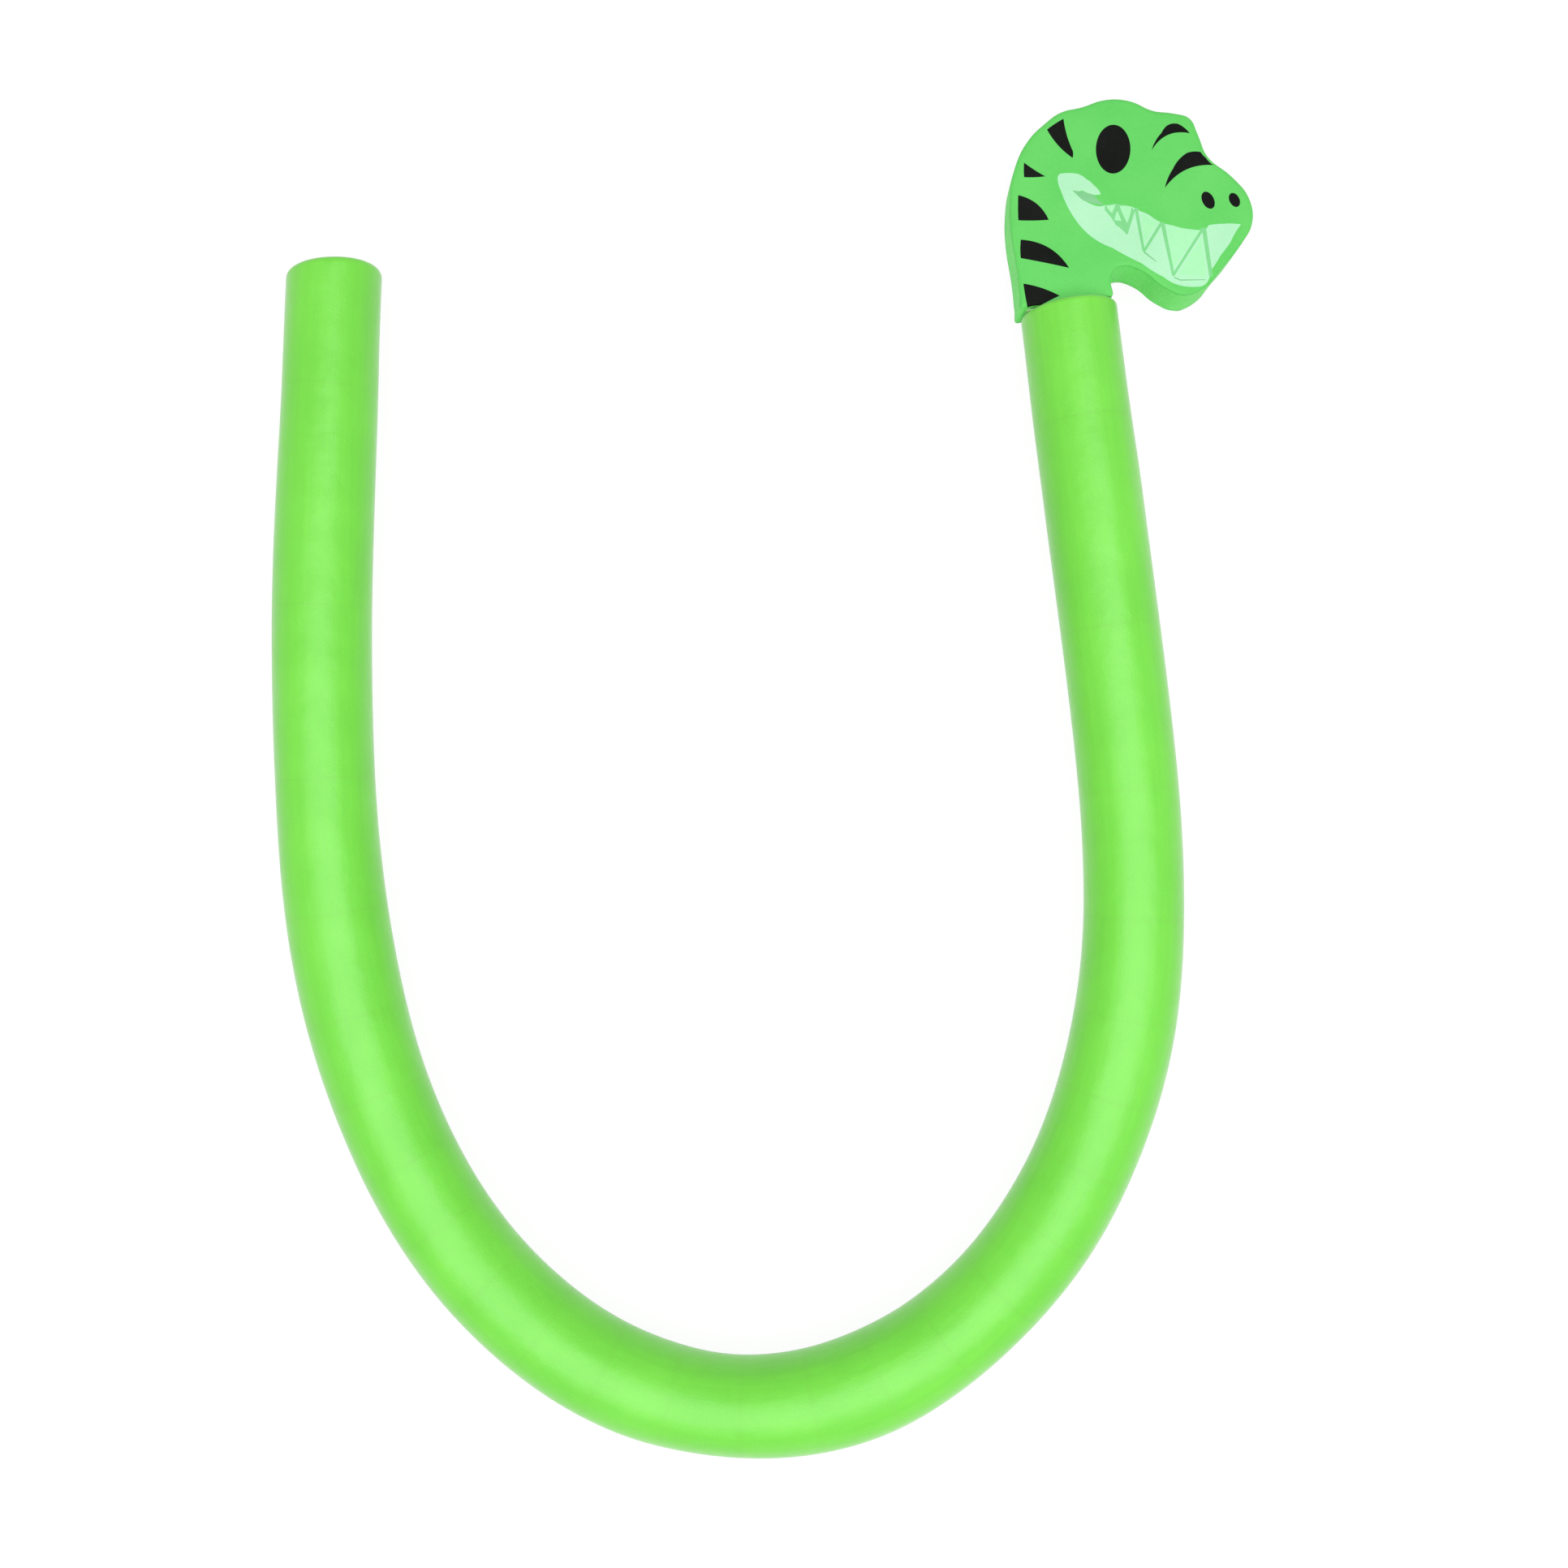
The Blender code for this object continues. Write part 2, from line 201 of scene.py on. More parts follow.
# Camera and light
CAMERA_PLACE = (0.05679, -0.01605, 0.93188)
CAMERA_TURN_X = math.radians(0.8952)
CAMERA_TURN_Y = math.radians(2.4295)
CAMERA_LENS = 33.54
CAMERA_SENSOR = 36.0
CAMERA_NEAR = 0.01
WORLD_STRENGTH = 0.42
SOFTBOX_PLACE = (0.20, -0.42, 2.10)
SOFTBOX_SIZE = (3.00, 2.30)
SOFTBOX_WATTS = 50.5
FLOOR_SIZE = 60.0
FLOOR_DROP = 0.0002
# Seen directly, the floor is mostly an even white, with a share of its own shade, which keeps the shadow
FLOOR_SHINE = 1.03
FLOOR_SHINE_SHARE = 0.92


def add(tree, kind, inputs=(), **settings):
    """Adds a shader node. An input is a value for its socket, or (node, output) to link to it."""
    node = tree.nodes.new(kind)
    for name, value in settings.items():
        setattr(node, name, value)
    for name, value in dict(inputs).items():
        if isinstance(value, tuple) and isinstance(value[0], bpy.types.Node):
            tree.links.new(value[0].outputs[value[1]], node.inputs[name])
        else:
            node.inputs[name].default_value = value
    return node


def maths(tree, operation, *values):
    """The result of an operation on values or on other nodes' outputs."""
    return add(tree, "ShaderNodeMath", enumerate(values), operation=operation), 0


def noise(tree, place, scale, detail=NOISE_DETAIL):
    """Noise over the given place, as many waves to the metre as the scale."""
    inputs = {"Vector": place, "Scale": scale, "Detail": detail}
    return add(tree, "ShaderNodeTexNoise", inputs), "Fac"


def stretched(tree, place, stretch):
    """The place with its axes scaled, so that a pattern on it is drawn out."""
    return add(tree, "ShaderNodeMapping", {"Vector": place, "Scale": stretch}), "Vector"


def between(tree, factor, deep, light, tones=TONE_RANGE):
    """A colour from deep to light as the factor goes through the tones."""
    ramp = add(tree, "ShaderNodeValToRGB", {"Fac": factor})
    for stop, position, colour in zip(ramp.color_ramp.elements, tones, (deep, light)):
        stop.position = position
        stop.color = (*colour, 1)
    return ramp, "Color"


def mixed(tree, first, second, share):
    """Two factors, joined in the given share of the second."""
    return maths(tree, "MULTIPLY_ADD", first, 1 - share, maths(tree, "MULTIPLY", second, share))


def ranged(tree, factor, limits):
    """The factor's middle half, stretched to run between the limits."""
    inputs = {
        "Value": factor,
        "From Min": NOISE_MIDDLE[0],
        "From Max": NOISE_MIDDLE[1],
        "To Min": limits[0],
        "To Max": limits[1],
    }
    return add(tree, "ShaderNodeMapRange", inputs), "Result"


def cells(tree, place, scale):
    """The closed cells of foam: 0 at the middle of a cell, more towards its walls."""
    inputs = {"Vector": place, "Scale": scale, "Randomness": CELL_RANDOMNESS}
    return add(tree, "ShaderNodeTexVoronoi", inputs), "Distance"


def bumps(tree, layers):
    """A normal from layers of (height, depth in metres)."""
    normal = None
    for height, depth in layers:
        inputs = {"Height": height, "Distance": depth, "Strength": 1.0}
        if normal:
            inputs["Normal"] = normal
        normal = (add(tree, "ShaderNodeBump", inputs), "Normal")
    return normal


def new_material(name):
    """An empty material with its surface shader and that shader's tree."""
    material = bpy.data.materials.new(name)
    material.use_nodes = True
    tree = material.node_tree
    tree.nodes.clear()
    surface = add(tree, "ShaderNodeBsdfPrincipled")
    add(tree, "ShaderNodeOutputMaterial", {"Surface": (surface, "BSDF")})
    return material, tree, surface


def wire(tree, surface, name, source):
    """Links a node's output to one of the surface's sockets."""
    tree.links.new(source[0].outputs[source[1]], surface.inputs[name])


def soft_glow(surface, weight, reach):
    """Light that enters the foam's cells and comes out a little way off."""
    surface.inputs["Subsurface Weight"].default_value = weight
    surface.inputs["Subsurface Radius"].default_value = GLOW_RADIUS
    surface.inputs["Subsurface Scale"].default_value = reach


def extruded_foam():
    """The tube's satin skin: drawn-out streaks, faint mottling and fine closed cells."""
    material, tree, surface = new_material("noodle_foam")
    place = (add(tree, "ShaderNodeAttribute", attribute_name="along_tube"), "Vector")
    streaks = noise(tree, stretched(tree, place, STREAK_STRETCH), STREAK_SCALE, STREAK_DETAIL)
    mottling = noise(tree, place, TUBE_MOTTLING_SCALE)
    grain = noise(tree, place, TUBE_GRAIN_SCALE, PLAIN_DETAIL)
    tone = mixed(tree, mixed(tree, mottling, streaks, STREAK_SHARE), grain, TUBE_GRAIN_SHARE)
    wire(tree, surface, "Base Color", between(tree, tone, TUBE_DEEP, TUBE_LIGHT))
    wire(tree, surface, "Roughness", ranged(tree, streaks, TUBE_ROUGHNESS))
    layers = [
        (noise(tree, place, TUBE_DENT_SCALE, PLAIN_DETAIL), TUBE_DENT_DEPTH),
        (streaks, STREAK_DEPTH),
        (cells(tree, place, TUBE_CELL_SCALE), TUBE_CELL_DEPTH),
    ]
    wire(tree, surface, "Normal", bumps(tree, layers))
    soft_glow(surface, *TUBE_GLOW)
    surface.inputs["Specular IOR Level"].default_value = TUBE_SPECULAR
    surface.inputs["Sheen Weight"].default_value = TUBE_SHEEN
    surface.inputs["Sheen Roughness"].default_value = TUBE_SHEEN_ROUGHNESS
    return material


def cut_foam(name, deep, light, attribute=None):
    """Foam cut through its cells: matt, open and pitted."""
    material, tree, surface = new_material(name)
    if attribute:
        place = (add(tree, "ShaderNodeAttribute", attribute_name=attribute), "Vector")
    else:
        place = (add(tree, "ShaderNodeTexCoord"), "Object")
    pits = cells(tree, place, PIT_SCALE)
    mottling = noise(tree, place, CUT_MOTTLING_SCALE)
    tone = mixed(tree, mottling, pits, PIT_SHARE)
    wire(tree, surface, "Base Color", between(tree, tone, deep, light, CUT_TONE_RANGE))
    wire(tree, surface, "Roughness", ranged(tree, mottling, CUT_ROUGHNESS))
    waves = noise(tree, place, CUT_WAVE_SCALE, PLAIN_DETAIL)
    layers = [(waves, CUT_WAVE_DEPTH), (pits, PIT_DEPTH)]
    wire(tree, surface, "Normal", bumps(tree, layers))
    soft_glow(surface, *CUT_GLOW)
    return material


def printed_skin(name, deep, light, specular=SKIN_SPECULAR):
    """A printed colour on the head's smooth skin, with the ink's fine mottling."""
    material, tree, surface = new_material(name)
    place = (add(tree, "ShaderNodeTexCoord"), "Object")
    clouds = noise(tree, place, INK_CLOUD_SCALE)
    grain = noise(tree, place, INK_GRAIN_SCALE, PLAIN_DETAIL)
    tone = mixed(tree, clouds, grain, INK_GRAIN_SHARE)
    wire(tree, surface, "Base Color", between(tree, tone, deep, light))
    wire(tree, surface, "Roughness", ranged(tree, clouds, SKIN_ROUGHNESS))
    surface.inputs["Specular IOR Level"].default_value = specular
    layers = [
        (noise(tree, place, SKIN_WAVE_SCALE, PLAIN_DETAIL), SKIN_WAVE_DEPTH),
        (cells(tree, place, SKIN_CELL_SCALE), SKIN_CELL_DEPTH),
    ]
    wire(tree, surface, "Normal", bumps(tree, layers))
    soft_glow(surface, *SKIN_GLOW)
    return material


def set_glue():
    """Hot glue, set hard: slightly clouded and glossy."""
    material, tree, surface = new_material("set_glue")
    place = (add(tree, "ShaderNodeTexCoord"), "Object")
    clouds = noise(tree, place, GLUE_CLOUD_SCALE)
    wire(tree, surface, "Base Color", between(tree, clouds, GLUE_DEEP, GLUE_LIGHT))
    wire(tree, surface, "Roughness", ranged(tree, clouds, GLUE_ROUGHNESS))
    wire(tree, surface, "Normal", bumps(tree, [(clouds, GLUE_CLOUD_DEPTH)]))
    soft_glow(surface, *GLUE_GLOW)
    return material


def mesh_object(name, points, faces, materials):
    """An object of the given points, faces and materials."""
    mesh = bpy.data.meshes.new(name)
    mesh.from_pydata([tuple(p) for p in points], [], faces)
    for material in materials:
        mesh.materials.append(material)
    made = bpy.data.objects.new(name, mesh)
    bpy.context.scene.collection.objects.link(made)
    return made


def tidy_normals(made):
    """Turns the faces outwards, and shades them smooth apart from the sharp edges."""
    work = bmesh.new()
    work.from_mesh(made.data)
    bmesh.ops.recalc_face_normals(work, faces=work.faces)
    work.to_mesh(made.data)
    work.free()
    made.data.shade_smooth()
    made.data.set_sharp_from_angle(angle=SMOOTH_ANGLE)


def bands(rings, sides, closed=False):
    """The faces between neighbouring rings of points. A closed loft joins its last ring to its first."""
    faces = []
    for i in range(rings if closed else rings - 1):
        below = i * sides
        above = (i + 1) % rings * sides
        for j in range(sides):
            beside = (j + 1) % sides
            faces.append([below + j, below + beside, above + beside, above + j])
    return faces


def capped(rings, sides):
    """The faces of a loft with a flat face at either end."""
    last = (rings - 1) * sides
    return [list(range(sides)), list(range(last, last + sides)), *bands(rings, sides)]


def node_points(node):
    """A node's different points, as an array."""
    points = np.array([v.co for v in frame["nodes"][node].data.vertices], float)
    return np.unique(np.round(points, POINT_DIGITS), axis=0)


def end_face_centre(node, normal):
    """The middle of the node's flat end that faces along the normal."""
    points = node_points(node)
    reach = points @ np.array(normal, float)
    return points[reach > reach.max() - FACE_TOUCH].mean(0)


def natural_spline(points):
    """The smoothest curve through the points: the points, their distances and second slopes."""
    points = np.array(points, float)
    gaps = np.linalg.norm(np.diff(points, axis=0), axis=1)
    knots = np.concatenate([[0.0], np.cumsum(gaps)])
    matrix = np.eye(len(points))
    bends = np.zeros_like(points)
    slopes = np.diff(points, axis=0) / gaps[:, None]
    for i in range(1, len(points) - 1):
        matrix[i, i - 1 : i + 2] = gaps[i - 1], 2 * (gaps[i - 1] + gaps[i]), gaps[i]
        bends[i] = 6 * (slopes[i] - slopes[i - 1])
    return points, knots, np.linalg.solve(matrix, bends)


def on_curve(curve, distance):
    """The curve's point at a distance along it, and its unit direction there."""
    points, knots, bends = curve
    i = int(np.clip(np.searchsorted(knots, distance) - 1, 0, len(knots) - 2))
    gap = knots[i + 1] - knots[i]
    left = (knots[i + 1] - distance) / gap
    right = 1 - left
    square = gap * gap / 6
    place = (
        left * points[i]
        + right * points[i + 1]
        + square * ((left**3 - left) * bends[i] + (right**3 - right) * bends[i + 1])
    )
    slope = (points[i + 1] - points[i]) / gap + gap / 6 * (
        (1 - 3 * left**2) * bends[i] + (3 * right**2 - 1) * bends[i + 1]
    )
    return place, slope / np.linalg.norm(slope)


def tube_chain():
    """The tube's bodies from its open end to the head, its middle line, and its open end's tilt."""
    hinges = {j["child"]: j["pos_m"] for j in frame["joints"]}
    left = [body for body in hinges if body.startswith("left")][::-1]
    right = [body for body in hinges if body.startswith("right")]
    mount = next(m for m in frame["record"]["mounts"] if m["name"] == "open_end_face")
    open_end = end_face_centre(left[0], mount["axis"])
    low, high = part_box("joining_dowel")
    towards_head = (low + high) / 2 - Vector(hinges[right[-1]])
    head_end = end_face_centre(right[-1], towards_head.normalized())
    places = [open_end, *(hinges[b] for b in left + right), head_end]
    curve = natural_spline(places)
    _, direction = on_curve(curve, 0.0)
    side = side_of(direction)
    normal = np.array(mount["axis"])
    return left + [MIDDLE_BODY] + right, curve, -(side @ normal) / (direction @ normal)


def side_of(direction):
    """The level direction square to the tube."""
    return np.array([direction[1], -direction[0], 0.0])


def unevenness(distance, angle):
    """How far the extruded skin stands off its circle."""
    waves = [
        share * np.sin(count * angle + pace * distance + start)
        for share, count, pace, start in UNEVEN_WAVES
    ]
    return UNEVENNESS * sum(waves)


def bell(gap, reach):
    """1 at no gap, falling smoothly to 0 at the reach."""
    return (1 + math.cos(math.pi * min(1.0, abs(gap) / reach))) / 2


def drawn_in(distance, length):
    """How much slimmer the tube is towards its two ends, as a share of its radius."""
    open_end = OPEN_END_TAPER * bell(distance, OPEN_END_TAPER_REACH)
    head_end = HEAD_END_TAPER * bell(length - distance, HEAD_END_TAPER_REACH)
    return open_end + head_end


def drift(distance):
    """How far the soft tube strays sideways from its middle line."""
    for (start, low), (end, high) in zip(DRIFT, DRIFT[1:]):
        if distance < end:
            step = max(0.0, (distance - start) / (end - start))
            return MM * (low + (high - low) * step * step * (3 - 2 * step))
    return 0.0


def bulge(distance):
    """How much wider the soft tube is pressed on each side."""
    return MM * sum(amount * bell(distance - middle, reach) for middle, reach, amount in BULGES)


def tube_ring(curve, tube_radius, tilt, distance, radius):
    """One ring round the middle line, and the same ring on the tube laid out straight."""
    centre, direction = on_curve(curve, distance)
    side = side_of(direction)
    angle = np.linspace(0, 2 * math.pi, TUBE_SIDES, endpoint=False)
    share = (radius - BORE_RADIUS) / (tube_radius - BORE_RADIUS)
    slimmer = tube_radius * drawn_in(distance, curve[1][-1])
    reach = radius + share * (unevenness(distance, angle) - slimmer)
    across = (reach + share * bulge(distance)) * np.cos(angle) + drift(distance)
    height = reach * np.sin(angle)
    slant = tilt * max(0.0, 1 - distance / SLANT_REACH)
    ring = centre + np.outer(across, side) + np.outer(slant * across, direction)
    ring[:, 2] += height
    straight = np.column_stack([across, height, np.full(TUBE_SIDES, distance)])
    return ring, straight


def spaced(start, end):
    """Distances from start to end, with a near neighbour at each, so that the shading meets."""
    count = max(2, round((end - start) / RING_SPACING))
    return [start, *np.linspace(start + SEAM_RING, end - SEAM_RING, count), end]


def rim(turn, tube_radius):
    """(depth, radius) round a rim's two edges and over its slightly dished cut face."""
    steps = np.linspace(0, math.pi / 2, ROUNDING_STEPS)
    hole = BORE_RIM_ROUNDING
    inner = BORE_RADIUS + hole
    edge = tube_radius - turn
    outside = [(turn * (1 - math.sin(a)), edge + turn * math.cos(a)) for a in steps]
    dish = [(CUT_DISH * math.sin(math.pi * s), edge + (inner - edge) * s) for s in CUT_RING_SHARES]
    bore = [(hole * (1 - math.cos(a)), inner - hole * math.sin(a)) for a in steps]
    return outside + dish + bore


def tube_piece(name, chain_shape, profile, materials, is_cut):
    """A closed length of tube through the (distance, radius) rings of its profile."""
    rings, straights = zip(*(tube_ring(*chain_shape, *p) for p in profile))
    faces = bands(len(profile), TUBE_SIDES, closed=True)
    made = mesh_object(name, np.concatenate(rings), faces, materials)
    slots = np.logical_and(is_cut, np.roll(is_cut, -1)).astype(np.int32)
    made.data.polygons.foreach_set("material_index", np.repeat(slots, TUBE_SIDES))
    straight = made.data.attributes.new("along_tube", "FLOAT_VECTOR", "POINT")
    straight.data.foreach_set("vector", np.concatenate(straights).astype(np.float32).ravel())
    tidy_normals(made)
    return made


def middle_profile(start, end, tube_radius):
    """The rings of a length of tube between two joins."""
    outer = [(d, tube_radius) for d in spaced(start, end)]
    bore = [(d, BORE_RADIUS) for d in spaced(start, end)[::-1]]
    return outer + bore


def end_profile(join, end, tube_radius, turn):
    """The rings of a length of tube from a join to an open rim, and which of them are cut."""
    sign = 1 if end > join else -1
    rim_rings = [(end - sign * depth, radius) for depth, radius in rim(turn, tube_radius)]
    length = abs(end - join)
    outer = [(join + sign * d, tube_radius) for d in spaced(0.0, length - turn)[:-1]]
    bore = [(join + sign * d, BORE_RADIUS) for d in spaced(0.0, length - BORE_RIM_ROUNDING)[:-1]]
    profile = outer + rim_rings + bore[::-1]
    cut_from = len(outer) + ROUNDING_STEPS - 2
    cut_to = len(outer) + len(rim_rings) - ROUNDING_STEPS + 1
    return profile, [cut_from <= i <= cut_to for i in range(len(profile))]


def make_tube():
    """The foam tube: a length across each hinge, and two rigid ends that ride on their bodies."""
    bodies, curve, tilt = tube_chain()
    low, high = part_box(MIDDLE_BODY)
    tube_radius = (high.z - low.z) / 2
    shape = (curve, tube_radius, tilt)
    knots = curve[1]
    joins = (knots[:-1] + knots[1:]) / 2
    foam = extruded_foam()
    cut = cut_foam("noodle_cut_foam", CUT_DEEP, CUT_LIGHT, "along_tube")
    ends = [
        ("foam_open_end", bodies[0], joins[0], 0.0, OPEN_RIM_ROUNDING),
        ("foam_head_end", bodies[-1], joins[-1], knots[-1], HEAD_RIM_ROUNDING),
    ]
    for name, body, join, end, turn in ends:
        profile, is_cut = end_profile(join, end, tube_radius, turn)
        made = tube_piece(name, shape, profile, [foam, cut], is_cut)
        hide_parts(body)
        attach(made, body)
    for i in range(1, len(bodies)):
        before, after = bodies[i - 1], bodies[i]
        start, end = joins[i - 1], joins[i]
        profile = middle_profile(start, end, tube_radius)
        name = f"foam_{before}_to_{after}"
        made = tube_piece(name, shape, profile, [foam], [False] * len(profile))
        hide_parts(before, after)
        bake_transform(made)
    return curve


def head_axes(curve):
    """The head's origin at the tube's end, and its level axes: across, and on from the tube."""
    end, along = on_curve(curve, curve[1][-1])
    return end, side_of(along), along


def top_border(node):
    """The points round the node's upper face, one after the other."""
    work = bmesh.new()
    work.from_mesh(frame["nodes"][node].data)
    bmesh.ops.remove_doubles(work, verts=work.verts, dist=WELD_DISTANCE)
    top = max(v.co.z for v in work.verts) - FLAT_TOLERANCE
    faces = [f for f in work.faces if all(v.co.z > top for v in f.verts)]
    face_set = set(faces)
    follow = {}
    for face in faces:
        for loop in face.loops:
            if not any(f in face_set for f in loop.edge.link_faces if f is not face):
                follow[loop.vert] = loop.link_loop_next.vert
    start = next(iter(follow))
    border = [np.array(start.co)]
    vert = follow[start]
    while vert is not start:
        border.append(np.array(vert.co))
        vert = follow[vert]
    work.free()
    return np.array(border)


def top_outline(node, origin, across, along):
    """The upper face's outline from the neck's near corner round to its other one, in plan."""
    offsets = top_border(node) - origin
    points = np.column_stack([offsets @ across, offsets @ along])
    lowest = points[:, 1].argsort()[:2]
    neck = lowest[points[lowest, 0].argmax()]
    points = np.roll(points, -neck, axis=0)
    if abs(points[1, 1] - points[0, 1]) < MM:
        points = np.concatenate([points[:1], points[:0:-1]])
    return points


def resampled(points):
    """The outline drawn again as a smooth curve through its points. A long side stays straight."""
    held = [points[0]]
    for start, end in zip(points[:-1], points[1:]):
        steps = max(1, round(np.linalg.norm(end - start) / LONG_SIDE))
        held += [start + (end - start) * step / steps for step in range(1, steps + 1)]
    curve = natural_spline(held)
    length = curve[1][-1]
    distances = np.linspace(0, length, round(length / OUTLINE_SPACING) + 1)
    return np.array([on_curve(curve, d)[0] for d in distances])


def inset(outline, amount):
    """The outline moved inwards. Its two ends slide along the neck's straight edge."""
    slope = np.gradient(outline, axis=0)
    normal = np.column_stack([-slope[:, 1], slope[:, 0]])
    normal /= np.linalg.norm(normal, axis=1)[:, None]
    normal[0] = (-1, 0)
    normal[-1] = (1, 0)
    return outline + amount * normal


def inside(points, polygon):
    """Which points lie inside the polygon."""
    x, y = points[:, 0], points[:, 1]
    found = np.zeros(len(points), bool)
    for (ax, ay), (bx, by) in zip(polygon, np.roll(polygon, -1, axis=0)):
        if ay == by:
            continue
        crosses = (ay > y) != (by > y)
        found ^= crosses & (x < ax + (y - ay) * (bx - ax) / (by - ay))
    return found


def distance_to(points, line):
    """Each point's distance from the open line."""
    starts, steps = line[:-1], np.diff(line, axis=0)
    lengths = (steps**2).sum(1)
    offsets = points[:, None] - starts[None]
    shares = np.clip((offsets * steps).sum(2) / lengths, 0, 1)
    gaps = offsets - shares[:, :, None] * steps
    return np.sqrt((gaps**2).sum(2)).min(1)


# The print, in millimetres across and along the head from the middle of the tube's rim.
# Each side of a shape is (x, y, bulge): it starts at x, y and stands out by its bulge.
# Shapes go round anticlockwise, so a bulge below 0 is a hollow.
PRINT_STEP = 0.7
SIDE_STRIPES = [
    [(-2.1, 107.0, 1.4), (11.1, 87.6, 0.3), (11.7, 92.1, -0.8), (8.6, 112.2, 0.3)],
    [(-18.3, 88.9, 0.2), (-19.3, 80.0, 0.3), (-6.5, 78.7, -0.3)],
    [(-24.2, 69.6, 0.2), (-26.0, 54.3, 0.3), (-7.8, 52.1, 3.0)],
    [(-26.0, 42.4, 0.3), (-27.4, 31.2, -0.2), (0.8, 21.3, 4.4)],
    [(-27.7, 15.6, 0.2), (-26.8, -1.2, 0.0), (-6.9, 5.3, 1.0)],
]
BROWS = [
    [(58.6, 85.5, -4.6), (82.6, 92.8, 0.6), (76.2, 99.6, 2.2), (66.0, 95.6, 0.8)],
    [
        (63.7, 61.8, -4.6),
        (94.4, 71.6, -0.4),
        (90.4, 76.6, -0.2),
        (87.6, 80.6, 0.6),
        (79.4, 81.2, 1.0),
        (69.8, 72.6, 0.6),
    ],
]
# Each oval is (x, y, half width, half height, lean in degrees to the right)
OVALS = [
    (35.9, 89.6, 10.4, 14.9, 7.0),
    (88.4, 50.9, 3.5, 5.6, -20.0),
    (104.0, 48.9, 3.0, 4.6, -20.0),
]
MOUTH = [
    (2.8, 79.2, 0.5),
    (0.6, 76.6, 0.4),
    (1.6, 69.0, 1.0),
    (9.9, 46.9, 1.8),
    (28.0, 30.0, 0.3),
    (44.4, 18.2, 0.4),
    (56.6, 8.0, 0.5),
    (64.3, 2.3, 0.8),
    (78.0, -0.4, 0.4),
    (81.9, 1.8, 0.3),
    (85.6, 9.2, 0.2),
    (91.4, 16.4, 0.1),
    (98.4, 23.6, -0.4),
    (106.0, 33.6, 0.3),
    (96.4, 35.4, 0.2),
    (87.0, 35.8, 0.0),
    (84.6, 33.2, -0.3),
    (71.6, 35.7, 0.3),
    (60.4, 40.3, -0.2),
    (54.2, 45.0, 0.5),
    (47.2, 49.8, 0.3),
    (42.5, 53.2, 0.2),
    (32.8, 56.3, 0.0),
    (26.4, 56.2, -0.6),
    (20.4, 57.2, -0.2),
    (14.3, 61.2, 0.0),
    (8.7, 67.6, 0.3),
    (14.6, 67.0, 0.2),
    (20.6, 63.6, 0.2),
    (25.2, 63.3, 0.5),
    (21.8, 69.2, 0.3),
    (17.8, 73.6, 0.4),
    (12.4, 77.8, 0.3),
]
MOUTH_CORNER = [(8.7, 68.0, 0.2), (14.2, 60.9, 0.3), (26.2, 56.5, -0.2), (20.6, 63.8, 0.2)]
GUM = [
    (26.6, 55.8, 0.0),
    (26.4, 53.2, -0.4),
    (31.8, 43.4, -0.4),
    (37.5, 36.8, 0.0),
    (39.6, 41.4, 0.0),
    (43.8, 50.0, 0.0),
    (42.8, 53.0, 0.0),
    (33.0, 56.6, 0.0),
]
TEETH = [
    [(27.6, 55.5, 0.2), (30.4, 51.0, 0.2), (33.0, 55.9, 0.2)],
    [(31.4, 46.6, 0.2), (35.4, 45.6, 0.2), (33.6, 51.8, 0.2)],
    [(35.4, 54.7, 0.2), (38.7, 43.6, 0.3), (42.6, 53.3, 0.2)],
    [(47.8, 48.8, 0.0), (47.3, 30.2, 0.0), (57.4, 42.0, -0.3)],
    [(61.6, 39.4, 0.0), (62.6, 12.8, 0.0), (81.6, 33.4, -0.4)],
    [(64.6, 8.0, -0.6), (81.4, 4.6, 0.2), (82.0, 29.6, 0.2)],
]
# Each line is (x, y, width) to (x, y, width)
TOOTH_LINES = [
    ((37.5, 37.1, 1.3), (43.9, 51.2, 1.3)),
    ((45.0, 52.2, 2.0), (46.4, 25.8, 1.5)),
    ((46.3, 25.0, 1.6), (59.2, 41.2, 1.8)),
    ((59.7, 41.0, 2.4), (62.2, 8.4, 1.6)),
    ((61.9, 8.2, 1.6), (83.2, 34.2, 1.7)),
    ((83.8, 34.4, 2.6), (84.4, 4.6, 2.1)),
]
LIP_LINES = [
    ((46.6, 24.8, 1.1), (53.2, 18.0, 0.5)),
    ((62.4, 7.2, 0.8), (66.0, 5.0, 0.8)),
    ((66.0, 5.0, 0.8), (80.6, 3.2, 0.5)),
]


def sides_round(shape):
    """A shape's outline from its corners and bulges."""
    corners = np.array([side[:2] for side in shape])
    ends = np.roll(corners, -1, axis=0)
    points = []
    for (_, _, bulge), start, end in zip(shape, corners, ends):
        chord = end - start
        out = np.array([chord[1], -chord[0]]) / np.linalg.norm(chord)
        steps = max(1, round(np.linalg.norm(chord) / PRINT_STEP)) if bulge else 1
        for share in np.arange(steps) / steps:
            points.append(start + share * chord + 4 * bulge * share * (1 - share) * out)
    return np.array(points)


def oval(x, y, half_width, half_height, lean):
    """An oval's outline."""
    steps = round(2 * math.pi * half_height / PRINT_STEP)
    angle = np.linspace(0, 2 * math.pi, steps, endpoint=False)
    across = half_width * np.cos(angle)
    along = half_height * np.sin(angle)
    tilt = math.radians(lean)
    return np.column_stack(
        [
            x + across * math.cos(tilt) + along * math.sin(tilt),
            y - across * math.sin(tilt) + along * math.cos(tilt),
        ]
    )


def tapered(start, end):
    """A straight line's outline, with a width at each end."""
    first, last = np.array(start[:2]), np.array(end[:2])
    step = last - first
    out = np.array([step[1], -step[0]]) / np.linalg.norm(step) / 2
    return np.array(
        [
            first + start[2] * out,
            last + end[2] * out,
            last - end[2] * out,
            first - start[2] * out,
        ]
    )


